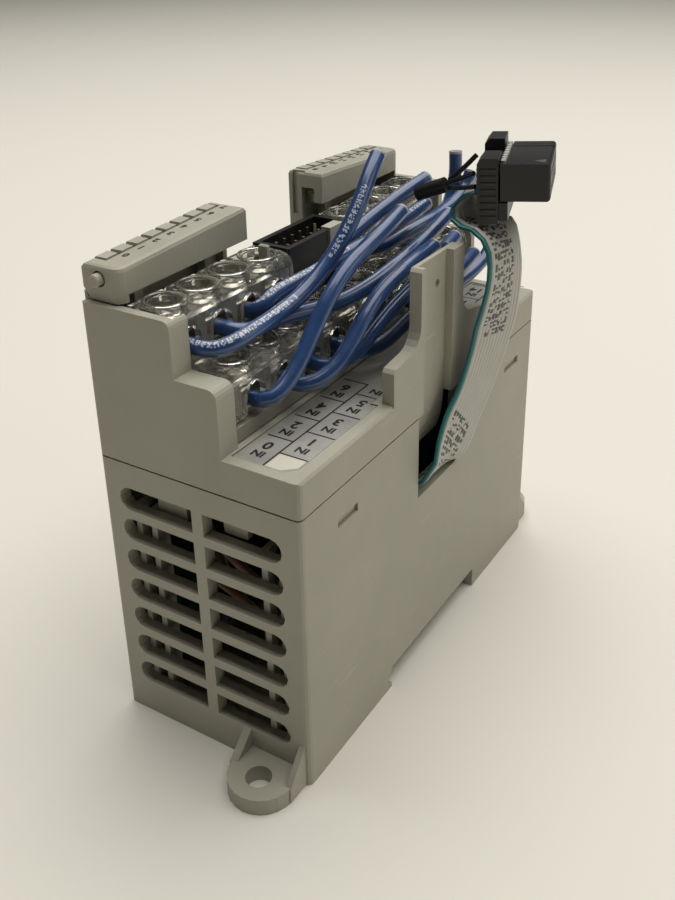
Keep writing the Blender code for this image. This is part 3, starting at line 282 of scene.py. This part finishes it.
WIRE_DIAMETER = 2.8
WIRE_ROUTES = {
    "wire_upper_1": [
        (-4.9, -38.75, 74.4), (-2.6, -38.75, 74.4), (0.4, -38.3, 74.4), (2.6, -35.6, 75.1),
        (3.4, -30.5, 75.8), (3.7, -24.5, 76.4), (4.4, -19.0, 77.9), (5.6, -13.8, 81.2),
        (6.6, -9.2, 85.6), (7.0, -5.0, 90.0), (6.7, -1.0, 94.0), (6.2, 2.6, 96.4),
    ],
    "wire_upper_2": [
        (-4.9, -30.65, 74.4), (-2.6, -30.65, 74.4), (-0.7, -30.3, 74.2), (0.6, -28.0, 74.0),
        (1.2, -24.5, 73.9), (2.2, -20.0, 73.8), (4.0, -15.3, 73.6), (6.6, -10.0, 74.0),
        (8.7, -4.0, 75.3), (10.0, 3.0, 77.0), (10.5, 10.0, 78.4), (10.5, 17.0, 79.8),
        (10.3, 22.6, 81.0),
    ],
    "wire_upper_3": [
        (-4.9, -22.55, 74.4), (-3.0, -22.5, 74.6), (-1.8, -21.9, 75.5), (-0.9, -19.4, 76.9),
        (0.1, -15.5, 77.6), (1.6, -9.5, 78.5), (3.2, -3.0, 79.7), (4.6, 4.0, 80.7),
        (5.4, 11.0, 81.5), (5.8, 18.0, 82.3), (5.9, 21.5, 82.8),
    ],
    "wire_upper_4": [
        (-4.9, -14.45, 74.4), (-3.0, -14.45, 74.2), (-1.5, -13.7, 74.1), (-0.9, -11.0, 74.4),
        (-0.9, -6.5, 76.2), (-0.3, 0.0, 79.4), (0.8, 7.0, 82.0), (2.2, 14.0, 84.2),
        (3.5, 20.0, 85.9), (4.4, 24.3, 86.9),
    ],
    "wire_upper_5": [
        (-4.9, 14.45, 74.4), (-3.0, 14.45, 74.4), (-1.0, 14.8, 74.8), (0.9, 17.2, 75.6),
        (2.4, 21.5, 76.6), (3.5, 26.5, 77.4), (4.2, 32.0, 78.0), (4.7, 37.0, 79.0),
        (5.0, 41.0, 80.8), (5.2, 43.2, 83.6),
    ],
    "wire_upper_6": [
        (-4.9, 22.55, 74.4), (-3.0, 22.6, 74.2), (-1.4, 23.0, 73.8), (0.0, 25.4, 73.4),
        (0.9, 29.5, 73.4), (1.4, 34.0, 74.1), (1.8, 38.2, 76.0), (2.0, 41.2, 79.4),
        (2.0, 42.6, 83.6), (1.8, 42.9, 87.6),
    ],
    "wire_lower_1": [
        (3.6, -33.7, 65.0), (5.6, -33.7, 65.0), (7.2, -32.9, 65.4), (8.1, -30.4, 66.8),
        (8.6, -26.8, 69.6), (8.9, -23.2, 73.4), (9.3, -19.2, 77.6), (9.8, -14.2, 81.2),
        (10.2, -8.0, 83.6), (10.2, -1.0, 85.2), (9.8, 4.6, 86.3),
    ],
    "wire_lower_2": [
        (3.6, -25.6, 65.0), (5.6, -25.6, 64.7), (7.6, -25.0, 64.4), (9.6, -22.6, 64.9),
        (11.1, -19.2, 66.8), (11.8, -15.8, 69.6), (12.2, -12.0, 72.9), (12.6, -7.6, 75.6),
        (13.0, -2.0, 77.2), (13.4, 4.0, 78.2), (13.8, 9.8, 79.0),
    ],
    "wire_lower_3": [
        (3.6, -17.5, 65.0), (5.6, -17.4, 64.7), (7.4, -16.8, 64.4), (9.1, -14.8, 64.6),
        (10.6, -11.6, 66.2), (11.6, -8.0, 68.7), (12.4, -3.6, 71.1), (13.0, 1.5, 72.8),
        (13.4, 7.0, 73.9), (13.2, 12.5, 74.8), (12.4, 18.0, 75.7),
    ],
    "wire_lower_4": [
        (3.6, -9.4, 65.0), (5.6, -9.3, 64.7), (7.5, -8.8, 64.0), (9.1, -6.8, 63.6),
        (10.6, -3.4, 64.1), (11.6, 1.0, 65.5), (12.4, 6.0, 67.1), (13.0, 11.5, 68.5),
        (13.4, 17.0, 69.7), (13.4, 23.0, 70.7), (13.0, 29.0, 71.5),
    ],
    "wire_lower_5": [
        (3.6, -1.3, 65.0), (5.6, -1.2, 65.2), (7.3, -0.4, 65.8), (8.4, 2.0, 66.9),
        (9.0, 5.5, 68.7), (9.4, 10.0, 70.7), (9.6, 16.0, 72.5), (9.6, 22.0, 73.7),
        (9.2, 28.0, 74.7),
    ],
    "wire_lower_7": [
        (3.6, 14.9, 65.0), (5.6, 15.0, 64.8), (7.4, 15.8, 64.6), (8.9, 18.3, 64.7),
        (10.0, 22.5, 65.2), (10.9, 27.0, 65.8), (11.5, 32.0, 66.6), (11.9, 36.8, 68.0),
        (12.1, 40.6, 70.6), (12.1, 42.6, 74.2),
    ],
}


def dots(tree, along, row, dot, rows):
    """Illegible dot-matrix print: rows of random dots in characters three dots wide, in words."""
    column = math_node(tree, "FLOOR", math_node(tree, "DIVIDE", along, dot))
    line = math_node(tree, "FLOOR", row)
    cell = node(tree, "CombineXYZ", {0: column, 1: line}).outputs[0]
    ink = node(tree, "TexWhiteNoise", {"Vector": cell}).outputs["Value"]
    ink = math_node(tree, "GREATER_THAN", ink, 0.4)
    gap = math_node(tree, "LESS_THAN", math_node(tree, "FLOORED_MODULO", column, 4.0), 2.5)
    word = node(tree, "CombineXYZ", {0: math_node(tree, "FLOOR", math_node(tree, "DIVIDE", column, 20.0)),
                                     1: 7.0}).outputs[0]
    word = math_node(tree, "GREATER_THAN", node(tree, "TexWhiteNoise", {"Vector": word}).outputs["Value"], 0.3)
    inside = math_node(tree, "MULTIPLY", math_node(tree, "GREATER_THAN", row, 0.0),
                       math_node(tree, "LESS_THAN", row, rows))
    for gate in (gap, word, inside):
        ink = math_node(tree, "MULTIPLY", ink, gate)
    return ink


def wire_look():
    """Glossy blue insulation with a line of white dot-matrix print along one side."""
    look = finish_of("blue_insulation", (0.018, 0.06, 0.19), 0.3, variation=0.22, blotch=160.0, grain=420.0,
                     bump=0.4, Coat_Weight=0.7, Coat_Roughness=0.12)
    tree = look.node_tree
    shader = tree.nodes["Principled BSDF"]
    plain = shader.inputs["Base Color"].links[0].from_socket
    where = node(tree, "UVMap", uv_map="along").outputs[0]
    parts = node(tree, "SeparateXYZ", {0: where}).outputs
    round_way = math_node(tree, "FRACT", math_node(tree, "ADD", parts[0], 0.5))
    row = math_node(tree, "DIVIDE", math_node(tree, "SUBTRACT", round_way, 0.44), 0.024)
    ink = dots(tree, parts[1], row, 0.24, 5.0)
    ink = math_node(tree, "MULTIPLY", ink, 0.85)
    tree.links.new(mixed(tree, ink, plain, (0.55, 0.58, 0.62, 1.0)), shader.inputs["Base Color"])
    return look


blue_look = wire_look()
copper_look = finish_of("copper_strands", (0.75, 0.42, 0.24), 0.35, metallic=1.0, variation=0.2)
jacket_look = finish_of("clear_jacket", (0.62, 0.66, 0.72), 0.25, variation=0.1, Transmission_Weight=0.4)
PRINT_SIDES = {
    "wire_upper_1": (0.42, -0.45, 0.79), "wire_upper_2": (-0.6, 0.5, 0.3), "wire_upper_3": (0.3, 0.2, 0.95),
    "wire_upper_4": (-0.3, 0.4, 0.9), "wire_lower_1": (-0.7, 0.6, 0.1), "wire_lower_2": (-0.2, 0.9, -0.3),
}

for name, route in WIRE_ROUTES.items():
    line = curve_points(route, max(30, round(math.dist(route[0], route[-1]) / 1.2)))
    tube = sweep(f"{name}_insulation", line, circle(WIRE_DIAMETER / 2 - 0.03, 20), blue_look,
                 Vector(PRINT_SIDES.get(name, (0.1, 0.3, -0.9))))
    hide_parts(name)
    ends = bmesh.new()
    ahead = (line[-1] - line[-2]).normalized()
    across_end = ahead.orthogonal().normalized()
    other = ahead.cross(across_end)
    for ring, count in ((0.0, 1), (0.42, 6), (0.8, 11)):
        for i in range(count):
            a = 2 * math.pi * i / count
            strand = bmesh.ops.create_cone(ends, cap_ends=True, segments=8, radius1=0.2 * MM,
                                           radius2=0.2 * MM, depth=0.5 * MM)["verts"]
            spot = line[-1] + (across_end * math.cos(a) + other * math.sin(a)) * ring
            frame_of = Matrix((across_end, other, ahead)).transposed().to_4x4()
            frame_of.translation = spot * MM
            bmesh.ops.transform(ends, matrix=frame_of, verts=strand)
    copper = piece(f"{name}_strands", ends, copper_look)
    jacket = sweep(f"{name}_jacket", [line[-1] - ahead * 0.1, line[-1], line[-1] + ahead * 0.35],
                   circle(WIRE_DIAMETER / 2 - 0.01, 20), jacket_look, across_end)

# ------------------------------------------------------------ ribbon cable

RIBBON_WIDTH, RIBBON_THICKNESS, CONDUCTORS = 15.24, 0.9, 12
RIBBON_ROUTE = [
    (15.9, 0.9, 10.0), (15.9, 0.9, 24.0), (15.9, 0.9, 31.0), (16.2, 0.9, 34.6),
    (17.4, 0.6, 37.3), (19.2, 0.5, 38.4), (20.9, 0.9, 40.1), (21.6, 3.5, 43.4),
    (21.9, 7.2, 47.1), (22.5, 10.6, 51.4), (23.3, 13.0, 56.8), (24.3, 14.4, 63.0),
    (25.2, 15.0, 69.5), (25.6, 15.1, 75.5), (24.6, 15.6, 80.0), (22.2, 16.3, 82.3),
    (19.2, 17.2, 82.9), (17.1, 18.0, 84.1), (16.1, 18.5, 86.2), (16.6, 18.9, 88.2),
    (17.7, 19.35, 88.75),
]
RIBBON_WIDTH_WAYS = [(0.0, 1.0, 0.0), (0.0, 1.0, 0.0), (0.13, 0.99, 0.0), (-0.3, 0.95, 0.0)]


def ribbon_section():
    """A row of joined round conductors seen end on."""
    steps = 6
    pitch = RIBBON_WIDTH / CONDUCTORS
    top = []
    for i in range(CONDUCTORS * steps + 1):
        share = (i % steps) / steps
        bulge = 0.5 * RIBBON_THICKNESS * (0.42 + 0.58 * math.sin(math.pi * share) ** 0.6)
        top.append((-RIBBON_WIDTH / 2 + pitch * i / steps, bulge))
    return top + [(a, -b) for a, b in reversed(top)]


def ribbon_look():
    """Pale grey insulation with a teal marker on its first conductor, painted shade along the grooves between
    conductors, and dark broken print.
    """
    look = finish_of("ribbon_insulation", (0.50, 0.49, 0.44), 0.4, variation=0.06, blotch=200.0, grain=1500.0,
                     bump=0.08, Coat_Weight=0.2, Coat_Roughness=0.2)
    tree = look.node_tree
    shader = tree.nodes["Principled BSDF"]
    plain = shader.inputs["Base Color"].links[0].from_socket
    where = node(tree, "UVMap", uv_map="along").outputs[0]
    parts = node(tree, "SeparateXYZ", {0: where}).outputs
    folded = math_node(tree, "PINGPONG", parts[0], 0.5)
    lane = math_node(tree, "MULTIPLY", folded, 2.0 * CONDUCTORS)
    stripe = math_node(tree, "LESS_THAN", lane, 0.95)
    # Painted shade: the colour is darkened along the grooves between conductors.
    groove_shade = math_node(tree, "ABSOLUTE", math_node(tree, "SUBTRACT", math_node(tree, "FRACT", lane), 0.5))
    groove_shade = ranged(tree, groove_shade, 0.36, 0.5)
    row = math_node(tree, "MULTIPLY", math_node(tree, "SUBTRACT", lane, 2.2), 2.0)
    mask = dots(tree, parts[1], row, 0.42, 13.0)
    shade = mixed(tree, math_node(tree, "MULTIPLY", groove_shade, 0.55), plain, (0.20, 0.20, 0.18, 1.0))
    shade = mixed(tree, math_node(tree, "MULTIPLY", mask, 0.85), shade, (0.02, 0.02, 0.025, 1.0))
    shade = mixed(tree, stripe, shade, (0.01, 0.13, 0.14, 1.0))
    tree.links.new(shade, shader.inputs["Base Color"])
    return look


line = curve_points(RIBBON_ROUTE, 46)
facings = []
for i in range(len(line)):
    at = i / (len(line) - 1) * (len(RIBBON_WIDTH_WAYS) - 1)
    first = min(int(at), len(RIBBON_WIDTH_WAYS) - 2)
    facings.append(Vector(RIBBON_WIDTH_WAYS[first]).lerp(Vector(RIBBON_WIDTH_WAYS[first + 1]), at - first))
ribbon = sweep("ribbon_cable_insulation", line, ribbon_section(), ribbon_look(), facings)
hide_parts("ribbon_cable")

# --------------------------------------------------- pull loop and connector

black = looks["black_plastic"]
LEADS = {
    "upper": [(14.17, 14.75, 90.13), (16.7, 15.1, 92.5), (18.85, 16.0, 95.0)],
    "middle": [(14.36, 13.41, 89.94), (17.6, 12.6, 91.4), (20.45, 11.4, 92.9)],
    "lower": [(14.72, 13.7, 88.95), (17.7, 11.6, 89.9), (20.85, 11.3, 90.6)],
}
for name, route in LEADS.items():
    lead = sweep(f"pull_lead_{name}_cover", curve_points(route, 14), circle(0.45, 12), black, Vector((0, 0, 1)))
    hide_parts(f"pull_lead_{name}")
sleeve = sweep("pull_sleeve_cover", curve_points([(8.34, 13.6, 87.1), (11.0, 13.85, 88.2), (13.85, 14.1, 89.4)], 12),
               circle(1.42, 18), black, Vector((0, 0, 1)))
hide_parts("pull_sleeve")

# --------------------------------------------------------- inside wiring

INNER_WIRES = {
    "board_link": [(-12.0, -31, 33), (-9.8, -31.2, 33), (-5.5, -34, 31.6), (-1, -35.5, 27.5),
                   (4, -36, 23.5), (9.4, -31.4, 20.5), (12.0, -31, 20.5)],
    "second_link": [(-12.0, -33, 27.5), (-9.0, -35, 28.4), (-4.0, -37.8, 29.6), (2.0, -38.6, 28.6),
                    (6.2, -37.8, 25.0), (8.4, -36.4, 19.6), (9.6, -34.6, 13.6), (11.9, -33, 10.6)],
    "third_link": [(-12.0, -28, 37.5), (-8.6, -33, 39.0), (-3.0, -37.6, 38.4), (3.0, -38.8, 35.4),
                   (7.8, -37.0, 31.2), (12.0, -32.6, 28.6)],
}
for name, route in INNER_WIRES.items():
    link_line = curve_points(route, 34)
    link = sweep(f"{name}_insulation", link_line, circle(0.78, 14), looks["wire_brown"], Vector((0, 0, 1)))
    if name == "board_link":
        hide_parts("board_link_wire")

# Painted shade: the dark chips and capacitor sleeves on the boards' inner faces are added to darken the inside,
# where little light reaches.
chips, cans, pale, sleeves = bmesh.new(), bmesh.new(), bmesh.new(), bmesh.new()
for z in (14, 24, 36, 47):
    add_box(chips, (-12.35, -10.9), (-22, -12), (z - 3, z + 3), 0.15)
    add_box(chips, (10.9, 12.35), (-26, -14), (z - 3, z + 3), 0.15)
    add_box(chips, (14.05, 15.2), (-38, -30), (z - 2, z + 2), 0.1)
    add_box(chips, (-15.2, -14.05), (-38, -30), (z - 2, z + 2), 0.1)
for y in (-8, 6, 20, 33):
    for z in (18, 34, 48):
        add_box(chips, (-12.35, -9.5), (y - 4, y + 4), (z - 4, z + 4), 0.2)
        add_box(chips, (10.2, 12.35), (y - 4, y + 4), (z - 4, z + 4), 0.2)
for y, z in ((-30, 14), (-18, 44), (-2, 28), (14, 44), (30, 26)):
    add_can(sleeves, (-8.6, y, z), 3.9, 7.4, axis="X", segments=28, bevel=0.3)
    add_can(cans, (-4.85, y, z), 3.4, 0.25, axis="X", segments=28)
for i in range(20):
    add_box(pale, (-14.2, -14.02), (-39.5, -38.7), (10 + 1.6 * i, 10.9 + 1.6 * i))
    add_box(pale, (14.02, 14.2), (-39.5, -38.7), (10 + 1.6 * i, 10.9 + 1.6 * i))
piece("board_chips", chips, black)
piece("capacitor_sleeves", sleeves, finish_of("capacitor_sleeve", (0.015, 0.02, 0.03), 0.4))
piece("capacitor_tops", cans, looks["steel"])
piece("solder_pads", pale, finish_of("solder", (0.55, 0.55, 0.52), 0.35, metallic=0.9), smooth=False)

# ------------------------------------------------------- terminal hardware

upper_rows = [-38.75 + 8.1 * i for i in range(4)] + [14.45 + 8.1 * i for i in range(4)]
lower_rows = [-33.7 + 8.1 * i for i in range(10)]
clamps = bmesh.new()
for x, floor, rows in ((-8.1, 72.6, upper_rows), (0.1, 63.2, lower_rows)):
    for y in rows:
        add_box(clamps, (x - 2.6, x + 2.9), (y - 2.85, y + 2.85), (floor + 3.15, floor + 3.8), 0.2)
        add_box(clamps, (x - 2.7, x + 3.6), (y - 2.9, y + 2.9), (floor + 0.05, floor + 0.55), 0.12)
        for side in (-1, 1):
            ends = sorted((y + side * 2.9, y + side * 2.3))
            add_box(clamps, (x - 1.6, x + 1.6), ends, (floor + 2.2, floor + 3.3), 0.12)
piece("terminal_clamps", clamps, looks["steel"])

rings = bmesh.new()


def add_ring(shape, centre, inner, outer, low, high, segments=32):
    """Adds a ring with a rounded top edge about Z."""
    edge = min(0.12, (outer - inner) / 3)
    section = [(inner, low), (outer, low), (outer, high - edge), (outer - edge, high), (inner + edge, high),
               (inner, high - edge)]
    turns = []
    for i in range(segments):
        a = 2 * math.pi * i / segments
        turns.append([shape.verts.new(((centre[0] + r * math.cos(a)) * MM, (centre[1] + r * math.sin(a)) * MM,
                                       z * MM)) for r, z in section])
    for i in range(segments):
        for k in range(len(section)):
            n = (k + 1) % len(section)
            shape.faces.new((turns[i - 1][k], turns[i - 1][n], turns[i][n], turns[i][k]))


for x, top, rows in ((-8.1, 81.0, upper_rows), (0.1, 71.3, lower_rows)):
    for y in rows:
        add_ring(rings, (x, y), 3.05, 3.6, top + 0.02, top + 0.35)
        add_ring(rings, (x, y), 2.6, 2.93, top - 2.0, top - 0.05)
piece("cover_rings", rings, looks["clear_plastic"])

stripped = bmesh.new()
for name, route in WIRE_ROUTES.items():
    x, y, z = route[0]
    for dy, dz in ((0, 0), (0.5, 0), (-0.5, 0), (0.25, 0.43), (-0.25, 0.43), (0.25, -0.43), (-0.25, -0.43)):
        add_can(stripped, (x - 0.65, y + dy, z + dz), 0.26, 1.5, axis="X", segments=10)
piece("stripped_ends", stripped, copper_look)

# --------------------------------------------------------- labels and print

ink_look = finish_of("printing_ink", (0.012, 0.012, 0.014), 0.5, variation=0.2)
cream_look = finish_of("blank_label", (0.62, 0.60, 0.50), 0.4, variation=0.04)
LABEL_Z = 59.47
WORD_HEIGHT, NUMBER_HEIGHT, BAR_NUMBER_HEIGHT = 1.6, 2.2, 1.35


def text(words, height, place, z_tilt=0.0):
    """A printed word, read from the +Y side, centred on place."""
    curve = bpy.data.curves.new(f"print_{words}", "FONT")
    curve.body = words
    curve.size = height * 1.4 * MM
    curve.align_x, curve.align_y = "CENTER", "CENTER"
    curve.offset = 0.09 * MM
    curve.extrude = 0.01 * MM
    curve.resolution_u = 3
    made = bpy.data.objects.new(curve.name, curve)
    mesh = bpy.data.meshes.new_from_object(made)
    bpy.data.objects.remove(made)
    obj = bpy.data.objects.new(f"print_{words}", mesh)
    mesh.materials.clear()
    mesh.materials.append(ink_look)
    tilt = Matrix.Rotation(math.radians(z_tilt), 4, "X")
    obj.matrix_world = (
        Matrix.Translation(Vector(place) * MM) @ tilt @ Matrix.Rotation(math.pi, 4, "Z"))
    bpy.context.scene.collection.objects.link(obj)
    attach(obj, HOUSING)


def add_prism(shape, outline, heights):
    """A closed prism over the outline, between two heights."""
    low, high = [[shape.verts.new((x * MM, y * MM, z * MM)) for x, y in outline] for z in heights]
    shape.faces.new(low)
    shape.faces.new(high)
    for i in range(len(outline)):
        shape.faces.new((low[i - 1], low[i], high[i], high[i - 1]))


lines = bmesh.new()
thin = (LABEL_Z - 0.005, LABEL_Z + 0.01)
for y in ((-42.6, -11.0), (11.3, 42.6)):
    add_box(lines, (11.9, 12.2), y, thin)
for i in range(4):
    for start in (-34.35, 19.1):
        y = start + 7.72 * i
        add_box(lines, (7.1, 12.0), (y - 0.15, y + 0.15), thin)
    for start in (-38.25, 23.0 if i < 3 else 22.9):
        y = start + 7.7 * i
        add_box(lines, (12.0, 17.4 if not -17.0 < y < 19.4 else 16.0), (y - 0.15, y + 0.15), thin)
piece("label_lines", lines, ink_look, smooth=False)
for i in range(4):
    for n, start in ((2 * i, -40.0), (8 + 2 * i, 13.6)):
        text("IN", WORD_HEIGHT, (9.35, start + 7.72 * i, LABEL_Z))
        text(str(n), NUMBER_HEIGHT, (9.3, start + 2.75 + 7.72 * i, LABEL_Z))
    for n, start in ((2 * i + 1, -35.9), (9 + 2 * i, 17.6)):
        y = start + 7.66 * i
        text("IN", WORD_HEIGHT, (14.8, y, LABEL_Z))
        if not -11.0 < y + 2.9 < -9.0:
            text(str(n), NUMBER_HEIGHT, (14.75, y + 2.9, LABEL_Z))
blank = bmesh.new()
corners = [(12.4, -42.6), (15.3, -42.6), (17.3, -40.8), (17.3, -38.5), (12.4, -38.5)]
add_prism(blank, corners, (LABEL_Z, LABEL_Z + 0.03))
piece("label_blank", blank, cream_look, smooth=False)

BAR_SLOPE = {"near": 1.5 / 32.3, "far": -1.5 / 30.7}
for side, first, step, count in (("near", -38.4, 3.57, 0), ("far", 16.0, 3.45, 8)):
    for i in range(8):
        y = first + step * i
        edge = -43.9 if side == "near" else 43.7
        z = 86.9 + BAR_SLOPE[side] * (y - edge)
        text(str(count + i), BAR_NUMBER_HEIGHT, (-15.6, y, z - 0.03),
             z_tilt=math.degrees(math.atan(BAR_SLOPE[side])))

# ------------------------------------------------------- connector details

CONNECTOR_AT = (18.6, 19.6, 89.9)
CONNECTOR_TURN, CONNECTOR_TILT = math.radians(18), math.radians(-2.5)
CONTACT_PITCH = 2.54
plug = Matrix.Translation(Vector(CONNECTOR_AT) * MM) @ (
    Matrix.Rotation(CONNECTOR_TURN, 4, "Z") @ Matrix.Rotation(CONNECTOR_TILT, 4, "Y"))


def on_plug(name, shape, look):
    bmesh.ops.transform(shape, matrix=plug, verts=shape.verts)
    return piece(name, shape, look)


pinched = bmesh.new()
for i in range(12):
    y = -7.2 + 1.27 * i
    add_can(pinched, (4.38, y + 0.25, 4.6), 0.46, 0.9, axis="Z", segments=12)
pinched_ribbon = on_plug("pinched_ribbon", pinched, finish_of("ribbon_edge", (0.50, 0.49, 0.44), 0.45))
ridges = bmesh.new()
for i in range(9):
    z = -4.9 + 1.05 * i
    add_box(ridges, (-0.12, 0.05), (-9.0, 9.0), (z, z + 0.5), 0.05)
for end in (-1, 1):
    for i in range(8):
        z = -4.9 + 1.2 * i
        add_box(ridges, (0.5, 3.3), sorted((end * 9.28, end * 9.42)), (z, z + 0.6), 0.05)
cap_ridges = on_plug("cap_ridges", ridges, black)
mark = bmesh.new()
triangle = ((9.6, -6.4), (11.6, -7.6), (11.6, -5.2))
add_prism(mark, triangle, (4.69, 4.74))
pin_mark = on_plug("pin_one_mark", mark, finish_of("moulded_mark", (0.10, 0.10, 0.10), 0.35))
contacts = bmesh.new()
for i in range(6):
    for row in (0, 1):
        y, z = CONTACT_PITCH * (i - 2.5), 1.4 + CONTACT_PITCH * (row - 0.5)
        for side in (-1, 1):
            ends = sorted((z + side * 0.3, z + side * 0.42))
            add_box(contacts, (7.2, 12.0), (y - 0.35, y + 0.35), ends)
socket_contacts = on_plug("socket_contacts", contacts, looks["gold"])

# --------------------------------------------------------------- lighting

AMBIENT = 0.048
world = bpy.data.worlds.new("studio")
world.use_nodes = True
world.node_tree.nodes["Background"].inputs[0].default_value = (1.0, 0.985, 0.94, 1.0)
world.node_tree.nodes["Background"].inputs[1].default_value = AMBIENT
bpy.context.scene.world = world
bpy.context.scene.view_settings.view_transform = "Standard"


def soft_light(name, place, aim, size, power, colour=(1.0, 0.98, 0.93)):
    data = bpy.data.lights.new(name, "AREA")
    data.shape = "RECTANGLE"
    data.size, data.size_y = size
    data.energy = power
    data.color = colour
    lamp = bpy.data.objects.new(name, data)
    lamp.location = place
    lamp.rotation_euler = (Vector(aim) - Vector(place)).to_track_quat("-Z", "Y").to_euler()
    bpy.context.scene.collection.objects.link(lamp)


soft_light("overhead", (0.0, 0.28, 1.05), (0.0, 0.08, 0.0), (1.5, 1.2), 17.0)
soft_light("side", (0.95, 0.35, 0.45), (0, 0, 0.04), (0.5, 0.5), 0.9)

floor_shape = bmesh.new()
bmesh.ops.create_grid(floor_shape, x_segments=1, y_segments=1, size=4.0)
floor_mesh = bpy.data.meshes.new("floor")
floor_shape.to_mesh(floor_mesh)
floor_shape.free()
floor = bpy.data.objects.new("floor", floor_mesh)
bpy.context.scene.collection.objects.link(floor)
floor_look = finish_of("paper", (0.80, 0.78, 0.71), 0.85, variation=0.01, blotch=3.0, grain=400.0, bump=0.03)
floor_mesh.materials.append(floor_look)
